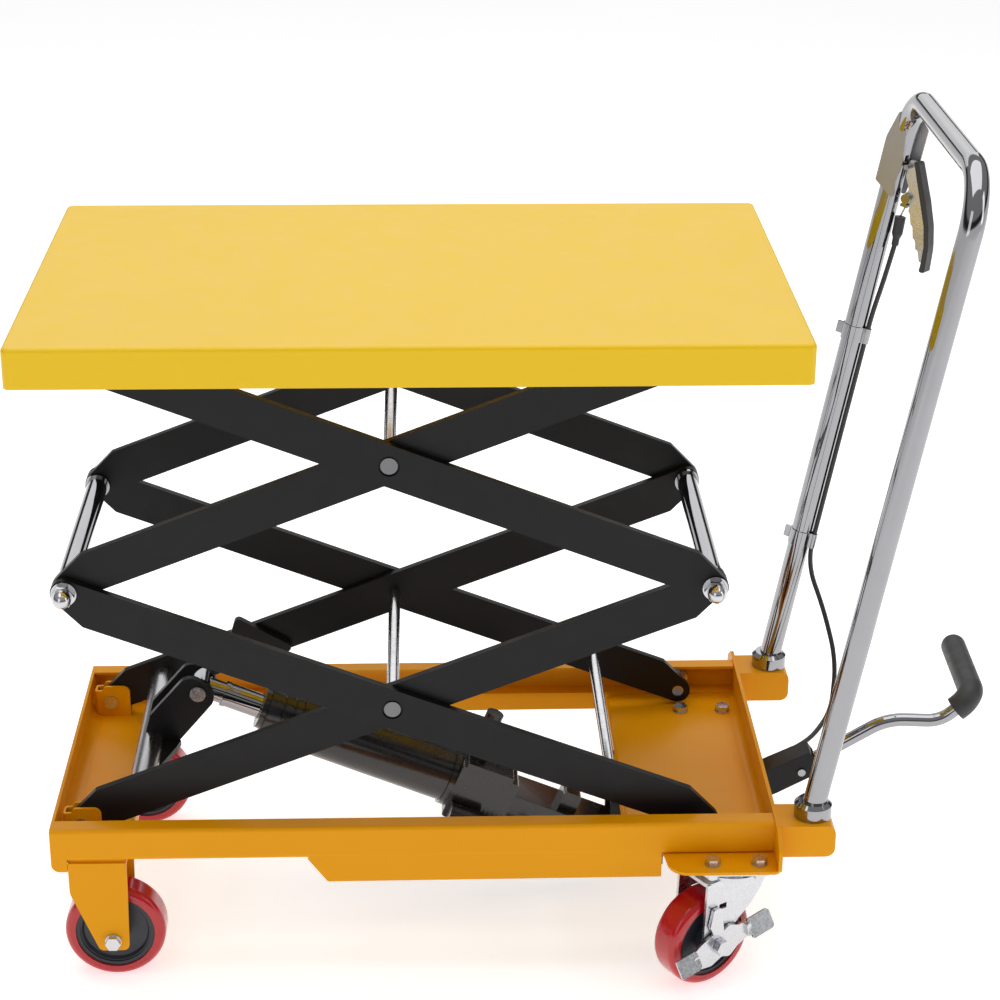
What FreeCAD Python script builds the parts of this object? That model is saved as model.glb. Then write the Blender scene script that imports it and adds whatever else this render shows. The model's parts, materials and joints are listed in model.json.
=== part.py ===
import FreeCAD, Part
import math
import os

V = FreeCAD.Vector

# Double scissor lift table on wheels, in millimetres. +X runs from the front end to the handle end,
# +Z is up and y = 0 is the middle plane. Shapes are drawn with x = 0 near the front end of the chassis and
# with the floor at ground_z, and are shifted on export so that the origin lies on the floor under the
# middle of the object.

# Driving dimensions: chassis
ground_z = 6.0
front_x = -3.6
rail_end_x = 691.0
rail_outer_y = 177.0
rail_flange = 19.0
rail_bottom_z = 144.9
rail_top_z = 178.3
sheet = 3.0
deck_start_x = 552.0
deck_end_x = 694.5
ear_start_x = 585.0
ear_y = 212.0

# Driving dimensions: scissor
half_link = 328.3
rest_angle = 22.35
anchor_x = 20.9
anchor_z = 161.6
bar_width = 40.0
bar_end_radius = 13.0
bar_bevel_angle = 25.0
inner_arm_y = (125.0, 133.0)
outer_arm_y = (134.0, 142.0)
pin_radius = 6.0
fixed_gap = 0.02
running_gap = 0.05
open_gap = 0.6
roller_radius = 13.3

# Driving dimensions: table
table_x = (-6.5, 698.0)
table_half_width = 225.0
skirt_height = 36.8
tray_sheet = 2.2

# Driving dimensions: wheels
wheel_radius = 49.0
axle_z = ground_z + wheel_radius
axle_radius = 4.0
hub_radius = 38.5
front_wheel = (51.1, 146.0)
fork_inner_y = 116.0
caster_axis = (652.0, 157.5)
caster_trail = 33.0
caster_turn = 33.0

# Driving dimensions: hydraulics
ram_pin = (128.0, 243.0)
ram_slope = 22.5
mount_distance = 467.6

# Driving dimensions: handle and controls
leg_y = 162.0
leg_foot = (728.0, 178.3)
leg_tilt = 10.6
handle_top_z = 809.0
tube_radius = 11.3
grip_end = (920.5, 218.5)
grip_radius = 13.0
lever_height_z = 745.0
lever_turn = 35.0
lever_pin = (15.5, -6.0)
pedal_pivot = (640.0, 88.0)
cable_radius = 2.5

origin_x = (table_x[0] + grip_end[0] + grip_radius) / 2


def box(x0, x1, y0, y1, z0, z1):
    return Part.makeBox(x1 - x0, y1 - y0, z1 - z0, V(x0, y0, z0))


def rod(start, end, radius):
    start, end = V(*start), V(*end)
    return Part.makeCylinder(radius, (end - start).Length, start, end - start)


def tube(start, end, outer, inner):
    return rod(start, end, outer).cut(rod(start, end, inner))


def y_rod(x, z, y0, y1, radius):
    return rod((x, y0, z), (x, y1, z), radius)


def fused(shapes):
    result = shapes[0]
    for shape in shapes[1:]:
        result = result.fuse(shape)
    return result.removeSplitter()


def together(shapes):
    return Part.makeCompound(shapes)


def mirrored(shape):
    return shape.mirror(V(0, 0, 0), V(0, 1, 0))


def both_sides(shape):
    return together([shape, mirrored(shape)])


def lifted(axis, a, b):
    """Point of an outline drawn across the given axis."""
    if axis == "x":
        return V(0, a, b)
    if axis == "y":
        return V(a, 0, b)
    return V(a, b, 0)


def rounded_wire(axis, points):
    """Closed wire through (a, b) or (a, b, corner radius) points."""
    corners = [(lifted(axis, p[0], p[1]), p[2] if len(p) > 2 else 0.0) for p in points]
    edges, ends = [], []
    for i, (corner, radius) in enumerate(corners):
        if not radius:
            ends.append((corner, corner))
            continue
        back = (corners[i - 1][0] - corner).normalize()
        ahead = (corners[(i + 1) % len(corners)][0] - corner).normalize()
        half = back.getAngle(ahead) / 2
        first = corner + back * (radius / math.tan(half))
        last = corner + ahead * (radius / math.tan(half))
        middle = (back + ahead).normalize()
        centre = corner + middle * (radius / math.sin(half))
        edges.append((i, Part.Arc(first, centre - middle * radius, last).toShape()))
        ends.append((first, last))
    arcs = dict(edges)
    loop = []
    for i in range(len(corners)):
        if i in arcs:
            loop.append(arcs[i])
        start, end = ends[i][1], ends[(i + 1) % len(corners)][0]
        if (end - start).Length > 1e-6:
            loop.append(Part.makeLine(start, end))
    return Part.Wire(loop)


def slab(axis, low, high, points):
    """Plate with a rounded outline, standing across one axis from low to high."""
    along = {"x": V(1, 0, 0), "y": V(0, 1, 0), "z": V(0, 0, 1)}[axis]
    face = Part.Face(rounded_wire(axis, points))
    face.translate(along * low)
    return face.extrude(along * (high - low))


def rectangle(a0, a1, b0, b1, radius):
    return [(a0, b0, radius), (a1, b0, radius), (a1, b1, radius), (a0, b1, radius)]


def hexagon(start, direction, across_flats, height):
    """Hexagonal prism from a point along a direction."""
    direction = V(*direction).normalize()
    radius = across_flats / math.sqrt(3)
    corners = [V(radius * math.cos(math.radians(60 * i)), radius * math.sin(math.radians(60 * i)), 0)
               for i in range(7)]
    prism = Part.Face(Part.makePolygon(corners)).extrude(V(0, 0, height))
    prism.Placement = FreeCAD.Placement(V(*start), FreeCAD.Rotation(V(0, 0, 1), direction))
    return prism


def spun(x, z, points):
    """Solid turned about the y-parallel line through (x, z), from (radius, y) points."""
    corners = [V(x + p[0], p[1], z) for p in points]
    face = Part.Face(Part.makePolygon(corners + corners[:1]))
    return face.revolve(V(x, 0, z), V(0, 1, 0), 360)


def bend_radii(points):
    """Largest tangent radius at each inner point: 0.45 of the shorter run over tan(half turn)."""
    radii = []
    for before, here, after in zip(points, points[1:], points[2:]):
        turn = (here - before).getAngle(after - here)
        shorter = min((here - before).Length, (after - here).Length)
        radii.append(0.45 * shorter / math.tan(turn / 2))
    return radii


def bent_wire(points, radii):
    """Straight runs through the points, joined by tangent arcs."""
    edges, start = [], points[0]
    for before, here, after, radius in zip(points, points[1:], points[2:], radii):
        back, ahead = (before - here).normalize(), (after - here).normalize()
        half = back.getAngle(ahead) / 2
        first = here + back * (radius / math.tan(half))
        last = here + ahead * (radius / math.tan(half))
        middle = (back + ahead).normalize()
        top = here + middle * (radius / math.sin(half) - radius)
        edges.append(Part.LineSegment(start, first).toShape())
        edges.append(Part.Arc(first, top, last).toShape())
        start = last
    edges.append(Part.LineSegment(start, points[-1]).toShape())
    return Part.Wire(edges)


def bent_rod(points, radii, radius):
    points = [V(*p) for p in points]
    path = bent_wire(points, radii)
    ring = Part.Wire(Part.makeCircle(radius, points[0], points[1] - points[0]))
    return path.makePipeShell([ring], True, False)


def bent_tube(points, radii, outer, inner):
    return bent_rod(points, radii, outer).cut(bent_rod(points, radii, inner))


def save(name, shape):
    moved = shape.copy()
    moved.translate(V(-origin_x, 0, -ground_z))
    moved.exportStep("parts/" + name + ".step")
    print(name, round(moved.Volume / 1000, 2), "cm3", len(moved.Solids), "solids", moved.isValid())


# ---------------------------------------------------------------- scissor geometry

def link_point(angle, distance, start):
    turn = math.radians(angle)
    return (start[0] + distance * math.cos(turn), start[1] + distance * math.sin(turn))


anchor = (anchor_x, anchor_z)
lower_centre = link_point(rest_angle, half_link, anchor)
rear_joint = link_point(rest_angle, 2 * half_link, anchor)
base_roller = (rear_joint[0], anchor_z)
front_joint = (anchor_x, rear_joint[1])
upper_centre = link_point(180 - rest_angle, half_link, rear_joint)
table_pivot = link_point(180 - rest_angle, 2 * half_link, rear_joint)
table_roller = (rear_joint[0], table_pivot[1])
table_top_z = table_pivot[1] + roller_radius + 0.4 + sheet + tray_sheet

pivot_offset = bar_width / 2 - bar_end_radius
bar_slope = rest_angle - math.degrees(math.asin(pivot_offset / half_link))
pivot_reach = math.sqrt(half_link ** 2 - pivot_offset ** 2)


def on_bar(centre, rising, along, across):
    """Place of a bar's own (along, across) point; a falling bar is the mirror of a rising one."""
    turn = math.radians(bar_slope)
    x = along * math.cos(turn) - across * math.sin(turn)
    z = along * math.sin(turn) + across * math.cos(turn)
    return (centre[0] + x, centre[1] + (z if rising else -z))


def arm_pair(centre, rising, span, front_hole, centre_hole, rear_hole, recess):
    """Two flat bars with offset end pivots, one on each side of the table."""
    half = bar_width / 2
    bevel = math.radians(bar_bevel_angle)
    bevel_start = pivot_reach - (half + pivot_offset - bar_end_radius / math.cos(bevel)) / math.tan(bevel)
    sharp = bevel_start + bar_width / math.tan(bevel)
    outline = [(-bevel_start, half), (sharp, half, bar_end_radius),
               (bevel_start, -half), (-sharp, -half, bar_end_radius)]
    placed = [on_bar(centre, rising, p[0], p[1]) + tuple(p[2:]) for p in outline]
    bar = slab("y", span[0], span[1], placed)
    holes = [((-pivot_reach, -pivot_offset), front_hole), ((0, 0), centre_hole),
             ((pivot_reach, pivot_offset), rear_hole)]
    for (along, across), gap in holes:
        x, z = on_bar(centre, rising, along, across)
        bar = bar.cut(y_rod(x, z, span[0] - 1, span[1] + 1, pin_radius + gap))
    if recess:
        bar = bar.cut(y_rod(centre[0], centre[1], span[1] - recess, span[1] + 1, 10.0))
    return bar


def centre_rod(x, z):
    """Pivot rod with a round head in the recess of each outer arm."""
    head_y = outer_arm_y[1] - 2.0
    half_rod = y_rod(x, z, 0, head_y, pin_radius)
    head = y_rod(x, z, head_y, outer_arm_y[1] - 0.4, 8.0)
    washer = tube((x, inner_arm_y[1] + 0.2, z), (x, outer_arm_y[0] - 0.2, z), 11.0, pin_radius)
    side = fused([half_rod, head, washer])
    return fused([side, mirrored(side)])


def acorn_bolt(x, z, start_y):
    """Joint bolt through both arms, with a washer and a domed nut outside."""
    face = outer_arm_y[1]
    shank = y_rod(x, z, start_y, face + 4, pin_radius)
    washer = y_rod(x, z, face + 0.1, face + 2.3, 12.0)
    nut = hexagon((x, face + 2.3, z), (0, 1, 0), 19.0, 7.5)
    dome = y_rod(x, z, face + 9.8, face + 15.0, 8.6)
    cap = Part.makeSphere(8.6, V(x, face + 15.0, z))
    spacer = y_rod(x, z, inner_arm_y[1] + 0.2, outer_arm_y[0] - 0.2, 11.0)
    return fused([shank, washer, nut, dome, cap, spacer])


def roller_pin(x, z, arm_y, roller_y):
    """Stub pin that carries a roller outside an arm."""
    pin = y_rod(x, z, arm_y[0], roller_y[1] + 0.5, pin_radius)
    shoulder = y_rod(x, z, arm_y[1] + 0.1, roller_y[0] - 0.3, 9.0)
    return fused([pin, shoulder])


def roller(x, z, roller_y):
    body = y_rod(x, z, roller_y[0], roller_y[1], roller_radius)
    return body.cut(y_rod(x, z, roller_y[0] - 1, roller_y[1] + 1, pin_radius + running_gap))


def cross_tube(x, z):
    """Chrome tube with an end ring, between the two inner arms."""
    half = inner_arm_y[0] - 0.1
    body = y_rod(x, z, -half, half, 10.5)
    for side in (-1, 1):
        body = body.fuse(y_rod(x, z, side * (half - 6), side * half, 12.5))
    return body.cut(y_rod(x, z, -half - 1, half + 1, pin_radius + 0.4))


base_roller_y = (159.5, 172.5)
table_roller_y = (148.0, 161.0)


def make_scissor():
    save("lower_inner_arms", both_sides(arm_pair(
        lower_centre, True, inner_arm_y, running_gap, fixed_gap, running_gap, 0)))
    outer = arm_pair(lower_centre, False, outer_arm_y, fixed_gap, running_gap, fixed_gap, 2.2)
    brace = on_bar(lower_centre, False, 222.8, -6.0)
    brace_end_y = outer_arm_y[0] + 4.0
    outer = outer.cut(y_rod(brace[0], brace[1], 130, brace_end_y, pin_radius + fixed_gap))
    save("lower_outer_arms", both_sides(outer))
    save("upper_outer_arms", both_sides(arm_pair(
        upper_centre, False, outer_arm_y, running_gap, fixed_gap, fixed_gap, 2.2)))
    save("upper_inner_arms", both_sides(arm_pair(
        upper_centre, True, inner_arm_y, open_gap, running_gap, fixed_gap, 0)))
    save("lower_centre_rod", centre_rod(*lower_centre))
    save("rear_cross_tube", cross_tube(*rear_joint))
    save("front_cross_tube", cross_tube(*front_joint))
    save("brace_rod", y_rod(brace[0], brace[1], -brace_end_y, brace_end_y, pin_radius))
    front_bolt = acorn_bolt(front_joint[0], front_joint[1], 112.0)
    base_pin = roller_pin(base_roller[0], base_roller[1], outer_arm_y, base_roller_y)
    save("lower_outer_pins", together([front_bolt, mirrored(front_bolt), base_pin, mirrored(base_pin)]))
    rear_bolt = acorn_bolt(rear_joint[0], rear_joint[1], 112.0)
    save("upper_outer_pins", together([centre_rod(*upper_centre), rear_bolt, mirrored(rear_bolt)]))
    table_pin = roller_pin(table_roller[0], table_roller[1], inner_arm_y, table_roller_y)
    save("table_roller_pins", both_sides(table_pin))
    base_wheel = roller(base_roller[0], base_roller[1], base_roller_y)
    table_wheel = roller(table_roller[0], table_roller[1], table_roller_y)
    save("base_roller_left", mirrored(base_wheel))
    save("base_roller_right", base_wheel)
    save("table_roller_left", mirrored(table_wheel))
    save("table_roller_right", table_wheel)


# ---------------------------------------------------------------- ram and pump

torque_centre = (79.0, 188.0)
torque_radius = 13.7


def make_ram_clevis():
    """Torque tube between the lower inner arms, with the clevis that the ram pushes."""
    tx, tz = torque_centre
    px, pz = ram_pin
    half = inner_arm_y[0] - 0.05
    save("torque_tube", tube((tx, -half, tz), (tx, half, tz), torque_radius, torque_radius - 3))
    plate = slab("y", 12.5, 20.5, [(68.0, 178.0), (79.0, 219.0, 4), (px - 9.0, pz + 22.0, 14.4),
                                  (px + 22.0, pz - 2.0, 14.4), (107.6, 190.8, 3), (90.0, 174.0)])
    gusset = slab("z", tz - 3, tz + 3, [(tx, 20.5), (tx + 30, 20.5), (tx + 27, 34, 12),
                                        (tx + 13, 76), (tx, 76)])
    tab = slab("y", 117.0, 124.9, [(157.0, 262.0, 5), (150.0, 238.0), (200.0, 219.0), (223.0, 224.0, 5)])
    parts = [plate, mirrored(plate), gusset, mirrored(gusset)]
    cutter = y_rod(tx, tz, -90, 90, torque_radius + fixed_gap)
    hole = y_rod(px, pz, -25, 25, 8.0 + fixed_gap)
    outside = [part.cut(cutter).cut(hole) for part in parts]
    biggest = [max(part.Solids, key=lambda solid: solid.Volume) for part in outside]
    save("ram_clevis", together(biggest + [tab]))
    pin = y_rod(px, pz, -22.5, 22.5, 8.0)
    save("clevis_pin", pin)


def along_ram(shape):
    """Turns a shape drawn along +X from the clevis pin into the ram's place."""
    placed = shape.copy()
    placed.rotate(V(0, 0, 0), V(0, 1, 0), ram_slope)
    placed.translate(V(ram_pin[0], 0, ram_pin[1]))
    return placed


def spring_coil(start, end, coil_radius, wire_radius, turns):
    """Helical spring along X, drawn at the origin's axis."""
    pitch = (end - start) / turns
    helix = Part.makeHelix(pitch, end - start, coil_radius)
    ring = Part.Wire(Part.makeCircle(wire_radius, V(coil_radius, 0, 0), V(0, 1, 0)))
    coil = Part.Wire(helix.Edges).makePipeShell([ring], True, True)
    coil.rotate(V(0, 0, 0), V(0, 1, 0), 90)
    coil.translate(V(start, 0, 0))
    return coil


def make_hydraulics():
    eye = y_rod(0, 0, -12.0, 12.0, 13.0)
    neck = rod((8, 0, 0), (28, 0, 0), 11.0)
    collar = rod((26, 0, 0), (30, 0, 0), 13.2)
    ram = rod((29, 0, 0), (200, 0, 0), 12.5)
    ram = fused([eye, neck, collar, ram]).cut(y_rod(0, 0, -13, 13, 8.0 + running_gap))
    save("ram_rod", along_ram(ram))

    bore = rod((50, 0, 0), (300, 0, 0), 12.5 + running_gap)
    gland = fused([rod((66, 0, 0), (72, 0, 0), 22.0), rod((72, 0, 0), (84, 0, 0), 27.0),
                   rod((84, 0, 0), (87, 0, 0), 25.0), rod((87, 0, 0), (95, 0, 0), 28.0),
                   rod((95, 0, 0), (98, 0, 0), 26.0), rod((98, 0, 0), (106, 0, 0), 28.5)])
    save("gland", along_ram(gland.cut(bore)))

    shell = rod((106.05, 0, 0), (276, 0, 0), 30.0).cut(rod((105, 0, 0), (264, 0, 0), 13.5))
    ring = rod((106.05, 0, 0), (112, 0, 0), 31.5).cut(rod((100, 0, 0), (120, 0, 0), 29))
    foot_ring = rod((270, 0, 0), (276, 0, 0), 33.0).cut(rod((265, 0, 0), (280, 0, 0), 29))
    save("barrel", along_ram(fused([shell, ring, foot_ring])))

    block = slab("y", -33, 33, [(276.05, -32, 3), (338, -32, 6), (338, 29, 3), (276.05, 29, 3)])
    plate = slab("y", -33, -4, [(280, 28.5), (330, 28.5), (330, 34, 1), (280, 34, 1)])
    boss = rod((280, -42, -23), (312, -42, -23), 13.0)
    screw = hexagon((294, -18, 33.5), (0, 0, 1), 9.0, 5.0)
    stem = rod((294, 16, 28), (294, 16, 62), 5.0)
    knob = rod((294, 16, 60), (294, 16, 74), 9.0)
    pump = fused([block, plate, boss, screw, stem, knob])
    pump = pump.cut(rod((282, -42, -23), (320, -42, -23), 5.0 + running_gap))
    save("pump_block", along_ram(pump))

    web = slab("y", -25, 25, [(338.05, 7.5), (470, 7.5), (470, 11.5), (338.05, 11.5)])
    side = slab("y", -25, -21, [(338.05, 11.5), (487, 11.5, 14), (487, -22, 14), (338.05, -28)])
    post = slab("y", -14, 14, [(389, 11), (408, 11), (408, 31, 4), (389, 31, 4)])
    foot = fused([web, side, mirrored(side), post])
    foot = foot.cut(y_rod(mount_distance, 0, -30, 30, 9.0))
    save("pump_foot", along_ram(foot))

    plunger = fused([rod((296, -42, -23), (362, -42, -23), 5.0),
                     rod((358, -42, -23), (366, -42, -23), 10.0)])
    save("pump_plunger", along_ram(plunger))
    coil = spring_coil(314.5, 343.0, 7.2, 1.2, 6)
    coil.translate(V(0, -42, -23))
    save("pump_spring", along_ram(coil))


def mount_point():
    turn = math.radians(ram_slope)
    return (ram_pin[0] + mount_distance * math.cos(turn), ram_pin[1] - mount_distance * math.sin(turn))


lug_y = (32.0, 38.0)


def make_pump_mount():
    """Cross beam under the deck with two lugs, each with a stub pin for the pump foot."""
    x, z = mount_point()
    top = rail_bottom_z - sheet - 0.05
    beam = box(x, x + 26, -157, 157, top - 20, top).cut(box(x + 3, x + 23, -160, 160, top - 21, top - 3))
    lug = slab("y", lug_y[0], lug_y[1],
               [(x - 16, top), (x - 16, z - 16, 15), (x + 16, z - 16, 15), (x + 16, top)])
    stub = y_rod(x, z, 27.0, 41.0, 8.0)
    px, pz = pedal_pivot
    cheek = slab("y", 17, 20,
                 [(px - 16, top), (px - 12, pz - 12, 11), (px + 12, pz - 12, 11), (px + 16, top)])
    axle = y_rod(px, pz, -22.0, 22.0, 5.0)
    sides = fused([lug, stub, box(x + 1, x + 16, 32, 60, top - 4, top)])
    frame = fused([beam, sides, mirrored(sides)])
    save("pump_mount", together([frame, fused([cheek, mirrored(cheek), axle])]))


# ---------------------------------------------------------------- chassis

def rail(low_x, high_x, outer_y, flange, bottom, top):
    """C-section rail open towards the middle, on the +Y side."""
    section = [(outer_y - flange, bottom), (outer_y, bottom, 4), (outer_y, top, 4), (outer_y - flange, top)]
    body = slab("x", low_x, high_x, section)
    return body.cut(box(low_x - 1, high_x + 1, outer_y - flange - 1, outer_y - sheet,
                        bottom + sheet, top - sheet))


def side_rail():
    body = rail(front_x, rail_end_x - 0.05, rail_outer_y, rail_flange, rail_bottom_z, rail_top_z)
    body = body.cut(box(front_x - 1, front_x + sheet + 0.02, 0, rail_outer_y - sheet, 100, 200))
    corner = slab("y", rail_outer_y - sheet, rail_outer_y,
                  [(front_x, rail_bottom_z + 8), (front_x, 133, 8), (11.5, 133), (11.5, rail_bottom_z + 8)])
    skirt = slab("y", rail_outer_y - sheet, rail_outer_y - 0.3,
                 [(242.0, rail_bottom_z + 6), (242.0, rail_bottom_z - 1), (260.6, 119.0, 2),
                  (583.0, 120.0), (583.0, rail_bottom_z + 6)])
    return fused([body, corner, skirt])


def anchor_bracket():
    """Bent plate whose two ears hold the front end of a lower inner arm."""
    low, high = rail_bottom_z, rail_top_z + 1.0
    x0, x1, y0, y1 = 3.4, 41.0, inner_arm_y[0] - 3.6, inner_arm_y[1] + 3.6
    outer = slab("z", low, high, [(x0, y0, 4), (x1, y0), (x1, y1), (x0, y1, 4)])
    inner = slab("z", low - 1, high + 1, [(x0 + 3, y0 + 3, 1), (x1 + 1, y0 + 3), (x1 + 1, y1 - 3),
                                          (x0 + 3, y1 - 3, 1)])
    profile = slab("y", y0 - 1, y1 + 1, [(x0, low), (x1, low), (x1, high, 7), (x0 + 11, high, 4),
                                         (x0 + 9, high - 5, 2), (x0, high - 5, 2)])
    body = outer.cut(inner).common(profile)
    return body.cut(y_rod(anchor_x, anchor_z, y0 - 1, y1 + 1, pin_radius + fixed_gap))


def make_front_pan():
    half = rail_outer_y - sheet - 0.05
    floor_z = rail_bottom_z - sheet
    floor = box(front_x, 64.0, -half, half, floor_z, rail_bottom_z - 0.02)
    lip = slab("y", -half, half, [(62.0, rail_bottom_z - 0.02), (68.0, rail_bottom_z - 0.02, 4),
                                  (68.0, 128.0), (65.0, 128.0), (65.0, floor_z, 1), (62.0, floor_z)])
    wall = box(front_x, front_x + sheet, -half, half, floor_z, rail_top_z)
    bend = slab("y", -half + 20, half - 20,
                [(front_x + 2, rail_bottom_z - 1), (front_x + 16, rail_bottom_z - 1),
                 (front_x + 2, rail_bottom_z + 13)])
    round_cut = y_rod(front_x + sheet + 14, rail_bottom_z + 14, -half, half, 14.02)
    pan = fused([floor, lip, wall, bend.cut(round_cut)])
    for side in (-1, 1):
        low, high = sorted((side * (fork_inner_y - 0.3), side * rail_outer_y))
        pan = pan.cut(box(60.0, 70.0, low, high, 120.0, floor_z))
    bracket = anchor_bracket()
    save("front_pan", together([pan, bracket, mirrored(bracket)]))


def bolt_places():
    return [(caster_axis[0] + dx, caster_axis[1] + dy) for dx in (-22.0, 23.0) for dy in (-38.5, 38.5)]


def make_rear_deck():
    """Deck pan with a folded front lip, an upright end plate and an ear outside each rail."""
    floor_z = rail_bottom_z - sheet
    top = rail_bottom_z - 0.02
    inner = rail_outer_y - 1
    floor = box(deck_start_x + 4, rail_end_x, -inner, inner, floor_z, top)
    lip = slab("y", -157, 157, [(deck_start_x + 6, top), (deck_start_x, top, 4), (deck_start_x, 126.0),
                                (deck_start_x + 3, 126.0), (deck_start_x + 3, floor_z, 1),
                                (deck_start_x + 6, floor_z)])
    ear = slab("z", floor_z, top, [(ear_start_x, inner - 1), (ear_start_x + 4, ear_y, 20),
                                   (deck_end_x, ear_y, 8), (deck_end_x, inner - 1)])
    outline = [(-ear_y, floor_z, 6), (ear_y, floor_z, 6), (ear_y, 166.0, 9), (rail_outer_y + 14, 181.0, 10),
               (-rail_outer_y - 14, 181.0, 10), (-ear_y, 166.0, 9)]
    end_plate = slab("x", rail_end_x, deck_end_x, outline)
    bend = 7.5
    cove = slab("y", -157, 157, [(rail_end_x - bend, top - 1), (rail_end_x + 1, top - 1),
                                 (rail_end_x + 1, top + bend)])
    cove = cove.cut(y_rod(rail_end_x - bend, top + bend, -160, 160, bend + 0.02))
    deck = fused([floor, lip, ear, mirrored(ear), end_plate, cove])
    skirt_room = box(deck_start_x, 584.0, rail_outer_y - sheet - 0.1, rail_outer_y, 120.0, top + 1)
    lug_slot = box(deck_start_x - 1, deck_start_x + 8, lug_y[0] - 0.3, lug_y[1] + 0.3, 120.0, floor_z)
    for room in (skirt_room, lug_slot):
        deck = deck.cut(room).cut(mirrored(room))
    for x, y in bolt_places():
        for side in (-1, 1):
            deck = deck.cut(rod((x, side * y, floor_z - 5), (x, side * y, top + 5), 4.1))
    save("rear_deck", deck)


def leg_axis(z):
    return leg_foot[0] + (z - leg_foot[1]) * math.tan(math.radians(leg_tilt))


def leg_core(low, high, radius):
    return rod((leg_axis(low), leg_y, low), (leg_axis(high), leg_y, high), radius)


def make_handle():
    socket = slab("y", 141, 185, [(deck_end_x + 0.05, rail_bottom_z), (749, rail_bottom_z, 9),
                                  (749, rail_top_z, 9), (deck_end_x + 0.05, rail_top_z)])
    socket = socket.cut(slab("y", 144, 182,
                             [(deck_end_x - 1, rail_bottom_z + 3), (746, rail_bottom_z + 3, 6),
                              (746, rail_top_z - 3, 6), (deck_end_x - 1, rail_top_z - 3)]))
    socket = socket.cut(leg_core(160, 200, tube_radius + fixed_gap))
    save("handle_sockets", both_sides(socket))

    x, y, z = leg_axis(rail_top_z + 6), leg_y, rail_top_z + 0.05
    collar = fused([rod((x, y, z), (x, y, z + 13.0), 18.2),
                    Part.makeCone(18.2, 14.5, 3.5, V(x, y, z + 13.0))])
    collar = collar.cut(leg_core(150, 260, tube_radius + fixed_gap))
    clips = [make_clip(height) for height in (560.0, 331.0)]
    save("handle_fittings", together([collar, mirrored(collar)] + clips))

    foot_z = rail_bottom_z + 6
    corners = [(leg_axis(foot_z), -leg_y, foot_z), (leg_axis(handle_top_z), -leg_y, handle_top_z),
               (leg_axis(handle_top_z), leg_y, handle_top_z), (leg_axis(foot_z), leg_y, foot_z)]
    save("handle", bent_tube(corners, [52.0, 52.0], tube_radius, tube_radius - 1.6))


def on_leg(shape, height):
    """Turns a shape drawn on the leg's own axes into place at a height on the right leg."""
    placed = shape.copy()
    placed.rotate(V(0, 0, 0), V(0, 0, 1), -lever_turn)
    placed.rotate(V(0, 0, 0), V(0, 1, 0), leg_tilt)
    placed.translate(V(leg_axis(height), leg_y, height))
    return placed


cable_offset = tube_radius + cable_radius + 0.8


def make_clip(height):
    """Band round the handle leg and the cable."""
    ring = rod((0, 0, -8), (0, 0, 8), tube_radius + 1.1)
    loop = rod((cable_offset, 0, -8), (cable_offset, 0, 8), cable_radius + 1.3)
    bridge = box(4, cable_offset, -3.8, 3.8, -8, 8)
    ear = box(-19.0, -8, -1.6, 1.6, -6, 6)
    band = fused([ring, loop, bridge, ear])
    band = band.cut(rod((0, 0, -9), (0, 0, 9), tube_radius + fixed_gap))
    band = band.cut(rod((cable_offset, 0, -9), (cable_offset, 0, 9), cable_radius + 0.3))
    return on_leg(band, height)


cable_seat = (19.6, 0.0, -82.0)
cable_first_bend = (17.6, 0.0, -128.0)


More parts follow.
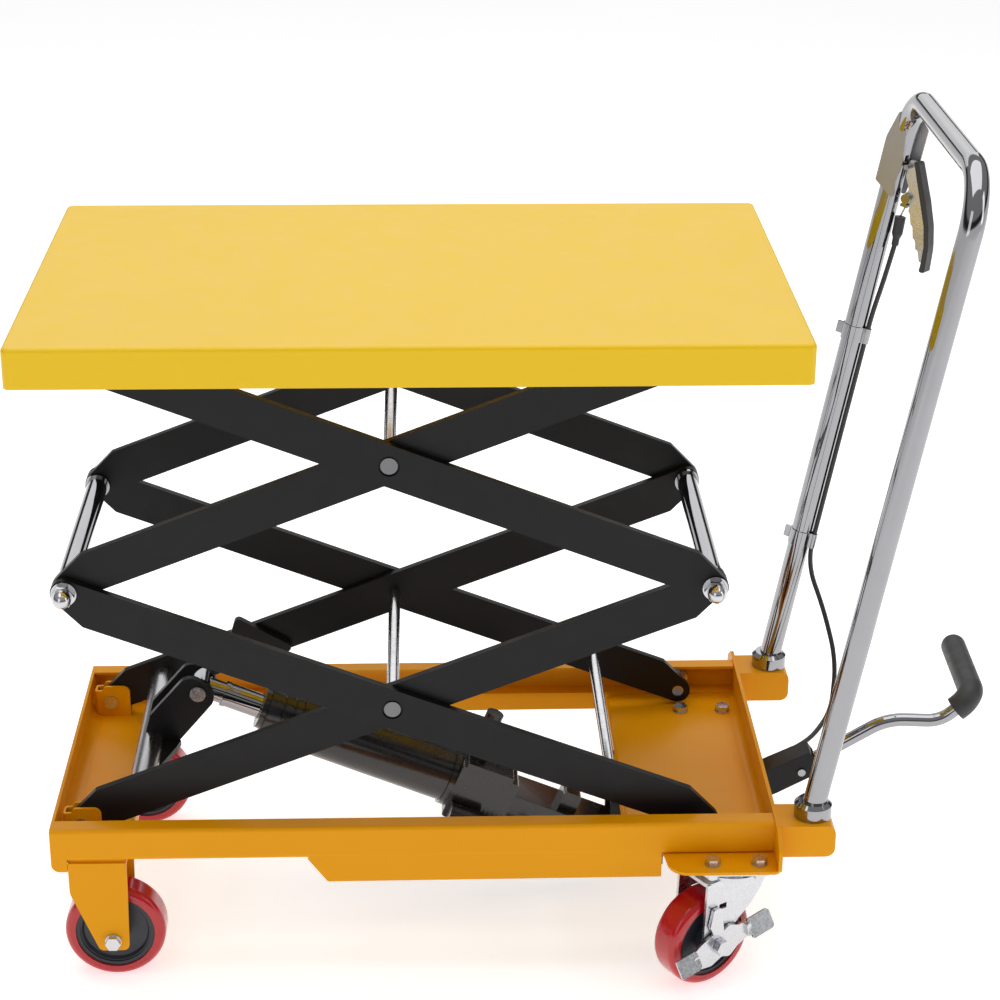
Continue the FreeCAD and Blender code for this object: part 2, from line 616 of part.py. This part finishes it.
def make_hand_lever():
    near = [(-13.3, -27), (10.7, -42, 3), (8.0, -24, 5), (10.5, -4, 20), (3.0, 44, 4), (-6.0, 46, 3),
            (-13.3, 18, 30)]
    far = [(-13.3, -27), (11.5, -40, 3), (14.0, -24, 5), (18.5, -10, 6), (19.0, 30, 4), (3.0, 44, 4),
           (-6.0, 46, 3), (-13.3, 18, 30)]
    back = [(-13.3, -27), (0.0, -35), (0.0, 45), (-6.0, 46, 3), (-13.3, 18, 30)]
    shell = fused([slab("y", -13.3, -11.4, near), slab("y", 11.4, 13.3, far),
                   slab("y", -13.3, 13.3, back).cut(box(-11.4, 30, -11.4, 11.4, -60, 60))])
    bracket = on_leg(shell, lever_height_z)
    corners = [(leg_axis(400), -leg_y, 400), (leg_axis(handle_top_z), -leg_y, handle_top_z),
               (leg_axis(handle_top_z), leg_y, handle_top_z), (leg_axis(400), leg_y, 400)]
    bracket = bracket.cut(bent_rod(corners, [52.0, 52.0], tube_radius + 0.05))
    pin_hole = on_leg(y_rod(lever_pin[0], lever_pin[1], -16, 16, 2.5 + fixed_gap), lever_height_z)
    biggest = max(bracket.cut(pin_hole).Solids, key=lambda solid: solid.Volume)
    pin = on_leg(y_rod(lever_pin[0], lever_pin[1], -14.6, 14.6, 2.5), lever_height_z)
    save("lever_bracket", together([biggest, pin]))

    blade = [(13.2, 1, 3), (19.5, 0), (30.5, -24), (36.0, -36), (46.5, -59), (52.0, -79), (53.5, -96),
             (49.5, -96, 2), (45.5, -86, 3), (42.5, -85, 2), (39.5, -76, 3), (37.0, -75.5, 2),
             (33.5, -64, 3), (31.0, -62.5, 2), (27.0, -52, 3), (25.0, -50.5), (24.8, -43.3),
             (16.5, -43.0, 4), (16.5, -34, 4), (20.5, -30, 4), (13.2, -17, 3)]
    plate = slab("y", -2.2, 2.2, blade)
    plate = plate.cut(y_rod(lever_pin[0], lever_pin[1], -3, 3, 2.5 + running_gap))
    save("hand_lever", on_leg(plate, lever_height_z))

    grip = [(19.7, 0, 1), (24.5, 1.5, 3), (36.0, -22, 60), (42.0, -34, 60), (52.0, -58, 50), (57.5, -79, 60),
            (60.0, -104, 2), (53.6, -105, 2), (53.6, -96.3), (52.2, -79), (46.7, -59), (36.2, -36),
            (30.7, -24)]
    save("lever_grip", on_leg(slab("y", -7.0, 7.0, grip), lever_height_z))

    barrel = y_rod(20.4, -38.0, -7.5, 7.5, 4.8).cut(box(0, 40, -2.6, 2.6, -60, -20))
    wire = rod((20.4, 0, -46.5), (17.7, 0, -57.5), 0.9)
    yoke = rod((20.5, 0, -44.5), (20.3, 0, -48.0), 2.4)
    yoke = yoke.fuse(box(16.6, 23.9, -7, 7, -46.6, -44.0))
    for low_y, high_y in ((-7.0, -3.0), (3.0, 7.0)):
        yoke = yoke.fuse(box(18.4, 22.4, low_y, high_y, -45.0, -41.0))
    save("cable_clevis", on_leg(together([fused([barrel, yoke, wire])]), lever_height_z))

    top, end = V(17.8, 0, -58.5), V(19.5, 0, -88)
    along = (end - top).normalize()
    boot = fused([Part.makeCylinder(5.5, 17.5, top, along),
                  Part.makeCone(5.5, 3.6, 5.0, top + along * 17.5, along),
                  Part.makeCylinder(3.6, 7.0, top + along * 22.5, along)])
    boot = boot.cut(Part.makeCylinder(1.6, 11.5, top, along))
    boot = boot.cut(rod(cable_seat, cable_first_bend, cable_radius + 0.1))
    save("cable_boot", on_leg(boot, lever_height_z))


def leg_frame_point(offset, height_from_pin):
    probe = Part.Vertex(offset, 0, height_from_pin)
    return on_leg(probe, lever_height_z).Vertexes[0].Point


def cable_route():
    """Points of the release cable, from the boot on the handle to the valve under the deck."""
    cosine = math.cos(math.radians(leg_tilt))
    upper = (560.0 - lever_height_z) / cosine
    lower = (331.0 - lever_height_z) / cosine
    held = [leg_frame_point(cable_seat[0], cable_seat[2]),
            leg_frame_point(cable_first_bend[0], cable_first_bend[2]),
            leg_frame_point(cable_offset, upper + 24), leg_frame_point(cable_offset, lower - 26)]
    loose = [(783.0, 141.0, 252.0), (795.0, 118.0, 203.0), (786.0, 82.0, 162.0), (762.0, 53.0, 146.0),
             (734.0, 34.0, 140.0), (705.0, 27.0, 131.0), (675.0, 28.0, 117.0), (644.0, 34.0, 107.0),
             (614.0, 44.0, 102.0), (590.0, 56.0, 101.0)]
    return held + [V(*p) for p in loose]


def make_cable():
    route = cable_route()
    radii = bend_radii(route)
    path = bent_wire(route, radii)
    ring = Part.Wire(Part.makeCircle(cable_radius, route[0], route[1] - route[0]))
    cable = path.makePipeShell([ring], True, False)
    print("cable radii", [round(r) for r in radii], "length", round(path.Length, 1))
    print("cable runs", [round((b - a).Length) for a, b in zip(route, route[1:])])
    print("cable volume over section times length",
          round(cable.Volume / (math.pi * cable_radius ** 2 * path.Length), 4))
    save("release_cable", cable)


def make_pedal():
    """Foot lever: pressed channel, bent tube and rubber grip."""
    px, pz = pedal_pivot
    side = [(px - 14, pz - 12, 10), (718.0, 118.0), (754.0, 137.5, 4), (757.0, 154.0, 4), (749.0, 165.0, 5),
            (709.0, 146.0), (px - 14, pz + 14, 8)]
    body = slab("y", -13, 13, side)
    hollow = slab("y", -10, 10, [(px - 30, pz - 40), (718.0, 104.0), (770.0, 132.0), (770.0, 158.0),
                                 (747.0, 161.0), (710.0, 143.0), (px - 8, pz + 10), (px - 30, pz + 10)])
    channel = body.cut(hollow).cut(y_rod(px, pz, -20, 20, 5.0 + running_gap))
    pin_x, pin_z = 742.0, 142.0
    channel = channel.cut(y_rod(pin_x, pin_z, -20, 20, 4.0 + fixed_gap))
    save("pedal_lever", channel)

    gx, gz = grip_end
    corner = (916.0, 0, 221.0)
    tip = (gx, 112.0, gz)
    stem_radius = 6.8
    route = [(724.0, 0, 131.0), (829.0, 0, 195.5), (884.0, 0, 193.0), corner, tip]
    stem = bent_rod(route, [60.0, 34.0, 18.0], stem_radius)
    pin = y_rod(pin_x, pin_z, -15, 15, 4.0)
    save("pedal_tube", together([stem.cut(y_rod(pin_x, pin_z, -20, 20, 4.0 + fixed_gap)), pin]))

    grip = bent_rod([(899.4, 0, 206.5), corner, (gx + 0.3, 132.0, gz - 0.2)], [18.0], grip_radius)
    grip = grip.makeFillet(grip_radius - 1.5, [edge for edge in grip.Edges if edge.BoundBox.YMin > 130])
    grip = grip.cut(bent_rod(route, [60.0, 34.0, 18.0], stem_radius + fixed_gap))
    save("pedal_grip", max(grip.Solids, key=lambda solid: solid.Volume))


# ---------------------------------------------------------------- wheels

def wheel_tread(x, y, z):
    outer = y_rod(x, z, y - 16, y + 16, wheel_radius)
    rims = [edge for edge in outer.Edges if abs(edge.Length - 2 * math.pi * wheel_radius) < 1]
    outer = outer.makeFillet(7.0, rims)
    return outer.cut(y_rod(x, z, y - 17, y + 17, hub_radius + fixed_gap))


def wheel_hub(x, y, z, bore):
    r = hub_radius
    half_face = [(bore, 0), (bore, 16.5), (13, 16.5), (14.5, 9), (31, 9), (33, 12.5), (34.5, 12.5),
                 (34.5, 14.0), (r, 14.0), (r, 0)]
    half = spun(x, z, half_face)
    whole = fused([half, mirrored(half)])
    whole.translate(V(0, y, 0))
    return whole


def front_fork():
    """Folded wheel fork on the +Y side: two cheeks and a bridge under the front pan."""
    top = rail_bottom_z - sheet - 0.03
    outline = [(12.0, top), (12.2, 108.7, 20), (38.0, 44.4, 6), (66.2, 44.6, 6), (67.8, 117.0), (67.8, top)]
    outer = slab("y", rail_outer_y - sheet, rail_outer_y, outline)
    inner = slab("y", fork_inner_y, fork_inner_y + sheet, outline)
    bridge = box(12.2, 67.8, fork_inner_y, rail_outer_y, top - sheet, top)
    fork = fused([outer, inner, bridge])
    return fork.cut(y_rod(front_wheel[0], axle_z, 110, 180, axle_radius + fixed_gap))


def front_axle():
    x, y, z = front_wheel[0], front_wheel[1], axle_z
    shank = y_rod(x, z, 110, rail_outer_y + 2, axle_radius)
    head = hexagon((x, rail_outer_y + 1.6, z), (0, 1, 0), 13.0, 5.4)
    washer = y_rod(x, z, rail_outer_y + 0.05, rail_outer_y + 1.6, 8.0)
    nut = hexagon((x, fork_inner_y - 0.1, z), (0, -1, 0), 13.0, 7.0)
    inner = y_rod(x, z, fork_inner_y + sheet + 0.1, y - 16.9, 9.0)
    outer = y_rod(x, z, y + 16.9, rail_outer_y - sheet - 0.1, 9.0)
    return fused([shank, head, washer, nut, inner, outer])


def caster_bolt(x, y):
    plate_bottom = rail_bottom_z - sheet - 4.1
    head = hexagon((x, y, rail_bottom_z + 1.5), (0, 0, 1), 13.0, 5.3)
    washer = rod((x, y, rail_bottom_z), (x, y, rail_bottom_z + 1.5), 8.0)
    shank = rod((x, y, plate_bottom - 9), (x, y, rail_bottom_z + 2), 4.0)
    nut = hexagon((x, y, plate_bottom - 0.05), (0, 0, -1), 13.0, 6.5)
    return fused([head, washer, shank, nut])


def make_fasteners():
    x, z = anchor_x, anchor_z
    pin = fused([y_rod(x, z, inner_arm_y[0] - 5.8, inner_arm_y[1] + 5.4, pin_radius),
                 y_rod(x, z, inner_arm_y[0] - 5.8, inner_arm_y[0] - 3.65, 7.2),
                 y_rod(x, z, inner_arm_y[1] + 3.65, inner_arm_y[1] + 5.6, 7.2)])
    pieces = [front_axle(), pin] + [caster_bolt(bx, by) for bx, by in bolt_places()]
    save("base_fasteners", together(pieces + [mirrored(piece) for piece in pieces]))


caster_head_z = 127.5


def caster_plate():
    x, y = caster_axis
    top = rail_bottom_z - sheet - 0.03
    plate = slab("z", top - 4, top, rectangle(x - 35, x + 35, y - 50, y + 50, 8))
    race = rod((x, y, caster_head_z + 0.4), (x, y, top - 3), 33.0)
    kingpin = rod((x, y, top - 24), (x, y, top - 10), 7.0)
    nut = hexagon((x, y, top - 24), (0, 0, -1), 17.0, 6.0)
    plate = fused([plate, race, kingpin, nut])
    for bx, by in bolt_places():
        plate = plate.cut(rod((bx, by, top - 10), (bx, by, top + 5), 4.1))
    return plate


def caster_place(shape, side):
    """Puts a shape drawn about the swivel axis under its corner of the deck."""
    placed = shape.copy()
    placed.rotate(V(0, 0, 0), V(0, 0, 1), caster_turn)
    placed.translate(V(caster_axis[0], -caster_axis[1], 0))
    return placed if side < 0 else mirrored(placed)


def caster_fork():
    """Pressed fork with a round head, drawn with its wheel trailing towards -X."""
    top = caster_head_z
    head = rod((0, 0, top - 5), (0, 0, top), 38.0)
    saddle = slab("z", top - 7, top - 3, [(-46, -23, 6), (25, -23, 10), (25, 23, 10), (-46, 23, 6)])
    leg_outline = [(-46, top - 4), (-50, 46, 12), (-24, 45, 12), (-13, 68, 24), (9, 86, 34), (25, 106, 20),
                   (25, top - 4)]
    leg = slab("y", -23, -20, leg_outline)
    slot = box(-31, -22, -24, -19, 92, 98)
    leg = leg.cut(slot).cut(y_rod(-caster_trail, axle_z, -30, 30, axle_radius + fixed_gap))
    fork = fused([head, saddle, leg, mirrored(leg)])
    fork = fork.cut(rod((0, 0, 100), (0, 0, 140), 11.5))
    axle = y_rod(-caster_trail, axle_z, -33, 27, axle_radius)
    head_bolt = hexagon((-caster_trail, 23.05, axle_z), (0, 1, 0), 13.0, 6.0)
    nut = hexagon((-caster_trail, -28.2, axle_z), (0, -1, 0), 14.0, 7.0)
    spacers = [y_rod(-caster_trail, axle_z, side * 16.8, side * 19.95, 9.0) for side in (-1, 1)]
    return together([fork, fused([axle, head_bolt, nut] + spacers)])


def brake_tab(start, end, half_width):
    """Flat tab along the rocker, tilted so that its face looks outward and up."""
    tab = slab("y", -31.2, -28.8, [(start, -half_width, 2), (end, -half_width, 4), (end, half_width, 4),
                                   (start, half_width, 2)])
    tab.rotate(V(0, -30.0, 0), V(1, 0, 0), -24)
    tab.rotate(V(0, 0, 0), V(0, 1, 0), -brake_slope)
    return tab


brake_slope = 10.5


def caster_brake():
    """Side brake: a waved rocker plate round the axle nut with two bent tabs."""
    x, z = -caster_trail, axle_z
    edge = [(-31, -14, 3), (-12, -19, 5), (2, -15, 4), (11, -20, 6), (22, -13, 5), (38, -9, 3), (39, 8, 3),
            (26, 10, 5), (16, 16, 6), (4, 11, 4), (-6, 15, 6), (-20, 11, 5), (-31, 6, 3)]
    rocker = slab("y", -27.0, -24.0, edge)
    tabs = [brake_tab(-52, -27, 9.5), brake_tab(37, 64, 10.5)]
    arms = slab("y", -30.6, -24.0, [(-33, -11, 2), (-27, -11, 2), (-27, 4, 2), (-33, 4, 2)])
    arms = arms.fuse(slab("y", -30.6, -24.0, [(34, -8, 2), (39, -8, 2), (39, 7, 2), (34, 7, 2)]))
    for shape in (rocker, arms):
        shape.rotate(V(0, 0, 0), V(0, 1, 0), -brake_slope)
    claw = slab("y", -28.0, -24.0,
                [(-6, 10, 2), (6, 10, 2), (4, 24, 3), (1, 42, 2), (-8, 42, 2), (-12, 24, 3)])
    lever = fused([rocker, arms, claw] + tabs)
    lever.translate(V(x, 0, z))
    lever = lever.cut(y_rod(x, z, -30, -20, 8.4))
    bush = y_rod(x, z, -27.9, -23.3, 8.6).cut(y_rod(x, z, -30, -20, axle_radius + running_gap))
    return fused([lever, bush])


def make_wheels():
    x, y = front_wheel
    save("front_tread_right", wheel_tread(x, y, axle_z))
    save("front_tread_left", mirrored(wheel_tread(x, y, axle_z)))
    save("front_hub_right", wheel_hub(x, y, axle_z, axle_radius + running_gap))
    save("front_hub_left", mirrored(wheel_hub(x, y, axle_z, axle_radius + running_gap)))
    save("front_forks", both_sides(front_fork()))
    save("caster_plates", both_sides(caster_plate()))
    for name, side in (("left", -1), ("right", 1)):
        save("caster_fork_" + name, caster_place(caster_fork(), side))
        save("caster_brake_" + name, caster_place(caster_brake(), side))
        save("caster_tread_" + name, caster_place(wheel_tread(-caster_trail, 0, axle_z), side))
        save("caster_hub_" + name, caster_place(
            wheel_hub(-caster_trail, 0, axle_z, axle_radius + running_gap), side))


# ---------------------------------------------------------------- table

def make_table():
    x0, x1 = table_x
    half, bottom = table_half_width, table_top_z - skirt_height
    outer = slab("z", bottom, table_top_z, rectangle(x0, x1, -half, half, 7))
    top_edges = [edge for edge in outer.Edges if edge.BoundBox.ZMin > table_top_z - 0.1]
    outer = outer.makeFillet(3.5, top_edges)
    inner = slab("z", bottom - 1, table_top_z - tray_sheet,
                 rectangle(x0 + tray_sheet, x1 - tray_sheet, -half + tray_sheet, half - tray_sheet, 4.8))
    save("table_tray", outer.cut(inner))

    low = table_pivot[1] - roller_radius - 0.4 - sheet
    high = table_pivot[1] + roller_radius + 0.4 + sheet
    channel = rail(5.0, 692.0, table_roller_y[1] + 4.0, rail_flange, low, high - 0.02)
    save("table_channels", both_sides(channel))

    px, pz = table_pivot
    y0, y1 = outer_arm_y[0] - 0.5, outer_arm_y[1] + 0.5
    ear = [(px - 17, high - 0.02), (px - 13, pz - 14, 10), (px + 13, pz - 14, 10), (px + 17, high - 0.02)]
    inner_ear = slab("y", y0 - 3, y0, ear)
    outer_ear = slab("y", y1, y1 + 3, ear)
    bridge = box(px - 17, px + 17, y0 - 3, y1 + 3, high - 3, high - 0.02)
    pin = y_rod(px, pz, y0 - 4.5, y1 + 3, pin_radius)
    save("table_brackets", both_sides(fused([inner_ear, outer_ear, bridge, pin])))


def main():
    os.makedirs("parts", exist_ok=True)
    rail_solid = side_rail()
    save("side_rail_right", rail_solid)
    save("side_rail_left", mirrored(rail_solid))
    make_front_pan()
    make_rear_deck()
    make_handle()
    make_hand_lever()
    make_cable()
    make_pedal()
    make_wheels()
    make_fasteners()
    make_scissor()
    make_ram_clevis()
    make_hydraulics()
    make_pump_mount()
    make_table()


main()
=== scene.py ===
"""Looks of the double scissor lift table: materials, softened edges, floor, lights and camera."""
import json
import math

import bpy
from mathutils import Matrix, Vector

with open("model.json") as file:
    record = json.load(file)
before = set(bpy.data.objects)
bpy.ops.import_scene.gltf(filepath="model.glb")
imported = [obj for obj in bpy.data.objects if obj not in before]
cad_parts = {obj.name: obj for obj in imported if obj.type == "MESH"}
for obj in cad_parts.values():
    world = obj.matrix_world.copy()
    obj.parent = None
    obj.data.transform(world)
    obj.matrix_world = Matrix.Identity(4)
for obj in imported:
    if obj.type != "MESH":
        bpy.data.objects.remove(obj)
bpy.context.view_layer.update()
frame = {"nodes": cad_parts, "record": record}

nodes = frame["nodes"]

# Camera, in metres and radians
camera_place = Vector((-0.1062, -2.2252, 1.3701))
camera_turn = 0.033
camera_pitch = 0.397
camera_roll = 0.005
lens_mm = 88.47
sensor_mm = 36.0

# Looks, in metres where they are lengths
pin_head_start = 0.1340
pin_head_end = 0.1420
pin_head_fade = 0.0005
floor_size = 60.0
floor_drop = 0.0006
floor_glow = 0.66
sky_strength = 0.95
soft_edge_angle = math.radians(40)


# ---------------------------------------------------------------- node helpers

class Shader:
    """A material's nodes, with short calls for the few kinds used here."""

    def __init__(self, name):
        self.material = bpy.data.materials.new(name)
        self.material.use_nodes = True
        self.tree = self.material.node_tree
        self.base = self.tree.nodes["Principled BSDF"]
        self.place = self.tree.nodes.new("ShaderNodeTexCoord").outputs["Object"]

    def set(self, **values):
        for name, value in values.items():
            self.base.inputs[name.replace("_", " ")].default_value = value

    def link(self, output, name):
        self.tree.links.new(output, self.base.inputs[name])

    def noise(self, scale, detail=4.0, roughness=0.55, stretch=(1.0, 1.0, 1.0)):
        mapping = self.tree.nodes.new("ShaderNodeMapping")
        mapping.inputs["Scale"].default_value = stretch
        self.tree.links.new(self.place, mapping.inputs["Vector"])
        node = self.tree.nodes.new("ShaderNodeTexNoise")
        node.inputs["Scale"].default_value = scale
        node.inputs["Detail"].default_value = detail
        node.inputs["Roughness"].default_value = roughness
        self.tree.links.new(mapping.outputs["Vector"], node.inputs["Vector"])
        return node.outputs["Fac"]

    def ramp(self, source, *stops):
        node = self.tree.nodes.new("ShaderNodeValToRGB")
        elements = node.color_ramp.elements
        while len(elements) < len(stops):
            elements.new(0.5)
        for element, (position, colour) in zip(elements, stops):
            element.position = position
            element.color = colour if len(colour) == 4 else (*colour, 1.0)
        self.tree.links.new(source, node.inputs["Fac"])
        return node.outputs["Color"]

    def spread(self, source, low, high, start=0.3, end=0.7):
        """Grey value between low and high, as the source goes from start to end."""
        return self.ramp(source, (start, (low,) * 3), (end, (high,) * 3))

    def mix(self, amount, first, second):
        node = self.tree.nodes.new("ShaderNodeMix")
        node.data_type = "RGBA"
        self.tree.links.new(amount, node.inputs["Factor"])
        for socket, value in (("A", first), ("B", second)):
            target = [s for s in node.inputs if s.identifier == socket + "_Color"][0]
            if isinstance(value, tuple):
                target.default_value = (*value, 1.0)
            else:
                self.tree.links.new(value, target)
        return [s for s in node.outputs if s.identifier == "Result_Color"][0]

    def bump(self, source, strength, distance, before=None):
        node = self.tree.nodes.new("ShaderNodeBump")
        node.inputs["Strength"].default_value = strength
        node.inputs["Distance"].default_value = distance
        self.tree.links.new(source, node.inputs["Height"])
        if before is not None:
            self.tree.links.new(before, node.inputs["Normal"])
        return node.outputs["Normal"]


def paint(name, light, dark, roughness, coat, specular=0.5):
    """Powder coat: orange peel, faint cloudiness and a few dull rubbed patches."""
    shader = Shader(name)
    shader.link(shader.mix(shader.noise(9.0, 5.0), dark, light), "Base Color")
    shader.link(shader.spread(shader.noise(38.0, 6.0, 0.7), roughness - 0.05, roughness + 0.08), "Roughness")
    peel = shader.bump(shader.noise(520.0, 2.0), 0.10, 0.0004)
    shader.link(shader.bump(shader.noise(70.0, 2.0), 0.05, 0.001, peel), "Normal")
    shader.set(Coat_Weight=coat, Coat_Roughness=0.08, Specular_IOR_Level=specular)
    return shader.material


def metal(name, colour, low, high, grain, stretch=(1.0, 1.0, 1.0), cloud=22.0):
    """Bare or plated metal, with its roughness and a fine grain varying over it."""
    shader = Shader(name)
    darker = tuple(value * 0.86 for value in colour)
    shader.link(shader.mix(shader.noise(cloud, 5.0, 0.6, stretch), darker, colour), "Base Color")
    shader.link(shader.spread(shader.noise(cloud * 2.7, 6.0, 0.7, stretch), low, high), "Roughness")
    shader.link(shader.bump(shader.noise(900.0, 3.0, 0.6, stretch), grain, 0.0002), "Normal")
    shader.set(Metallic=1.0)
    return shader.material


def pivot_pin():
    """Plated pivot rod whose flush heads, set into the outer arms, are coloured near-black as painted shade
    of the recesses they sit in.
    """
    shader = Shader("pivot_pin")
    split = shader.tree.nodes.new("ShaderNodeSeparateXYZ")
    shader.tree.links.new(shader.place, split.inputs["Vector"])
    across = shader.tree.nodes.new("ShaderNodeMath")
    across.operation = "ABSOLUTE"
    shader.tree.links.new(split.outputs["Y"], across.inputs[0])
    # Band across |y| where the pin heads sit; it marks where the painted recess shade goes.
    head_shade_mask = shader.ramp(across.outputs["Value"],
                       (pin_head_start, (0.0,) * 3), (pin_head_start + pin_head_fade, (1.0,) * 3),
                       (pin_head_end, (1.0,) * 3), (pin_head_end + pin_head_fade, (0.0,) * 3))
    plated = shader.mix(shader.noise(40.0), (0.52, 0.52, 0.54), (0.64, 0.64, 0.66))
    # Near-black on the pin heads is painted shade, standing in for the shade inside the recesses in the
    # outer arms.
    painted_recess_shade = shader.mix(shader.noise(60.0), (0.016, 0.016, 0.017), (0.030, 0.030, 0.032))
    shader.link(shader.mix(head_shade_mask, plated, painted_recess_shade), "Base Color")
    shader.link(shader.spread(shader.noise(120.0, 5.0), 0.14, 0.24), "Roughness")
    shader.set(Metallic=1.0)
    return shader.material


def moulded(name, light, dark, roughness, grain, subsurface=0.0, coat=0.0):
    """Moulded rubber or plastic with a fine grain."""
    shader = Shader(name)
    shader.link(shader.mix(shader.noise(30.0, 5.0), dark, light), "Base Color")
    shader.link(shader.spread(shader.noise(90.0, 5.0), roughness - 0.07, roughness + 0.07), "Roughness")
    shader.link(shader.bump(shader.noise(1100.0, 2.0), grain, 0.0003), "Normal")
    shader.set(Coat_Weight=coat, Subsurface_Weight=subsurface, Subsurface_Scale=0.004)
    return shader.material


def make_materials():
    return {
        "table": paint("table_yellow", (0.88, 0.56, 0.002), (0.85, 0.54, 0.0015), 0.36, 0.10, 0.3),
        "frame": paint("frame_amber", (0.84, 0.355, 0.0005), (0.80, 0.33, 0.0004), 0.36, 0.03, 0.15),
        "arms": paint("arm_satin_black", (0.007, 0.007, 0.008), (0.005, 0.005, 0.006), 0.40, 0.0, 0.25),
        "pump": paint("pump_gloss_black", (0.016, 0.016, 0.017), (0.009, 0.009, 0.010), 0.24, 0.35),
        "chrome": metal("chrome_plate", (0.36, 0.36, 0.375), 0.04, 0.10, 0.02),
        "zinc": metal("bright_zinc", (0.66, 0.67, 0.70), 0.20, 0.34, 0.08, cloud=75.0),
        "satin": metal("satin_plate", (0.44, 0.44, 0.46), 0.30, 0.44, 0.08, cloud=60.0),
        "pins": pivot_pin(),
        "steel": metal("turned_steel", (0.46, 0.46, 0.48), 0.18, 0.34, 0.12, (1.0, 0.05, 1.0)),
        "tread": moulded("red_polyurethane", (0.56, 0.004, 0.012), (0.46, 0.002, 0.008), 0.20, 0.03,
                         subsurface=0.25, coat=0.4),
        "hub": moulded("dark_nylon", (0.030, 0.034, 0.046), (0.020, 0.023, 0.032), 0.38, 0.15),
        "rubber": moulded("black_rubber", (0.040, 0.040, 0.042), (0.024, 0.024, 0.026), 0.50, 0.20),
        "cable": moulded("cable_jacket", (0.022, 0.022, 0.024), (0.014, 0.014, 0.015), 0.36, 0.10),
    }


slot_material = {
    "frame_paint": "frame", "table_paint": "table", "arm_black": "arms", "pump_black": "pump",
    "chrome": "chrome", "zinc": "zinc", "tread_red": "tread", "hub_dark": "hub",
    "rubber_black": "rubber", "cable_black": "cable",
}
node_material = {
    "torque_tube": "steel", "lever_bracket": "satin", "lower_outer_pins": "pins", "upper_outer_pins": "pins",
    "lower_centre_rod": "pins", "brace_rod": "pins",
}


def dress_nodes(materials):
    """Each CAD node takes the material of its record slot, unless it has one of its own."""
    slots = {part["node"]: part["material_slot"] for part in frame["record"]["subparts"]}
    for name, obj in nodes.items():
        chosen = materials[node_material.get(name, slot_material[slots[name]])]
        obj.data.materials.clear()
        obj.data.materials.append(chosen)


soft_edges = {
    0.0008: ("side_rail_left", "side_rail_right", "front_pan", "rear_deck", "handle_sockets", "front_forks",
             "lower_inner_arms", "lower_outer_arms", "upper_outer_arms", "upper_inner_arms", "pump_block",
             "pump_foot", "ram_clevis", "pedal_lever"),
    0.0004: ("base_fasteners", "caster_plates", "caster_fork_left", "caster_fork_right", "caster_brake_left",
             "caster_brake_right", "hand_lever", "lever_bracket", "lower_outer_pins", "upper_outer_pins",
             "ram_rod", "gland", "barrel", "lever_grip", "cable_boot", "pump_mount"),
}


def soften_edges():
    for width, names in soft_edges.items():
        for name in names:
            bevel = nodes[name].modifiers.new("soft_edge", "BEVEL")
            bevel.width = width
            bevel.segments = 2
            bevel.limit_method = "ANGLE"
            bevel.angle_limit = soft_edge_angle
            bevel.harden_normals = True


# ---------------------------------------------------------------- stage

def make_floor():
    bpy.ops.mesh.primitive_plane_add(size=floor_size, location=(0, 0, -floor_drop))
    floor = bpy.context.object
    floor.name = "floor"
    shader = Shader("pale_floor")
    pale = shader.mix(shader.noise(0.6, 3.0), (0.88, 0.88, 0.88), (0.92, 0.92, 0.92))
    shader.link(pale, "Base Color")
    shader.link(pale, "Emission Color")
    shader.set(Roughness=0.8, Emission_Strength=floor_glow)
    floor.data.materials.append(shader.material)


def area_light(name, place, target, size, power):
    light = bpy.data.lights.new(name, "AREA")
    light.shape = "RECTANGLE"
    light.size, light.size_y = size
    light.energy = power
    obj = bpy.data.objects.new(name, light)
    obj.location = place
    obj.rotation_euler = (Vector(target) - Vector(place)).to_track_quat("-Z", "Y").to_euler()
    bpy.context.scene.collection.objects.link(obj)


def make_world():
    """Pale studio sky, brightest at the horizon, with a dark band above it for the chrome to mirror."""
    world = bpy.data.worlds.new("studio")
    bpy.context.scene.world = world
    world.use_nodes = True
    tree = world.node_tree
    background = tree.nodes["Background"]
    coordinates = tree.nodes.new("ShaderNodeTexCoord")
    split = tree.nodes.new("ShaderNodeSeparateXYZ")
    ramp = tree.nodes.new("ShaderNodeValToRGB")
    tree.links.new(coordinates.outputs["Generated"], split.inputs["Vector"])
    tree.links.new(split.outputs["Z"], ramp.inputs["Fac"])
    stops = [(0.0, 1.0), (0.04, 0.95), (0.09, 0.12), (0.16, 0.03), (0.26, 0.05), (0.34, 0.38), (1.0, 0.42)]
    elements = ramp.color_ramp.elements
    while len(elements) < len(stops):
        elements.new(0.5)
    for element, (position, value) in zip(elements, stops):
        element.position = position
        element.color = (value, value, value, 1.0)
    tree.links.new(ramp.outputs["Color"], background.inputs["Color"])
    background.inputs["Strength"].default_value = sky_strength


def make_lights():
    middle = (0.0, 0.0, 0.4)
    area_light("top_box", (0.0, 0.3, 3.2), middle, (3.6, 3.0), 58.0)
    area_light("back_box", (0.0, 3.0, 1.9), middle, (3.4, 1.2), 14.0)
    area_light("front_box", (-1.8, -3.0, 1.8), middle, (1.4, 2.2), 12.0)
    area_light("side_box", (3.0, -1.2, 1.6), middle, (0.8, 2.4), 12.0)


def make_camera():
    cosine, sine = math.cos(camera_turn), math.sin(camera_turn)
    level = math.cos(camera_pitch)
    forward = Vector((sine * level, cosine * level, -math.sin(camera_pitch)))
    right = Vector((cosine, -sine, 0.0))
    up = right.cross(forward)
    rolled_right = right * math.cos(camera_roll) + up * math.sin(camera_roll)
    rolled_up = up * math.cos(camera_roll) - right * math.sin(camera_roll)
    camera = bpy.data.cameras.new("camera")
    camera.lens = lens_mm
    camera.sensor_width = sensor_mm
    obj = bpy.data.objects.new("camera", camera)
    basis = Matrix((rolled_right, rolled_up, -forward)).transposed().to_4x4()
    obj.matrix_world = Matrix.Translation(camera_place) @ basis
    bpy.context.scene.collection.objects.link(obj)
    bpy.context.scene.camera = obj


make_camera()
materials = make_materials()
dress_nodes(materials)
soften_edges()
make_floor()
make_world()
make_lights()
bpy.context.scene.view_settings.view_transform = "Standard"
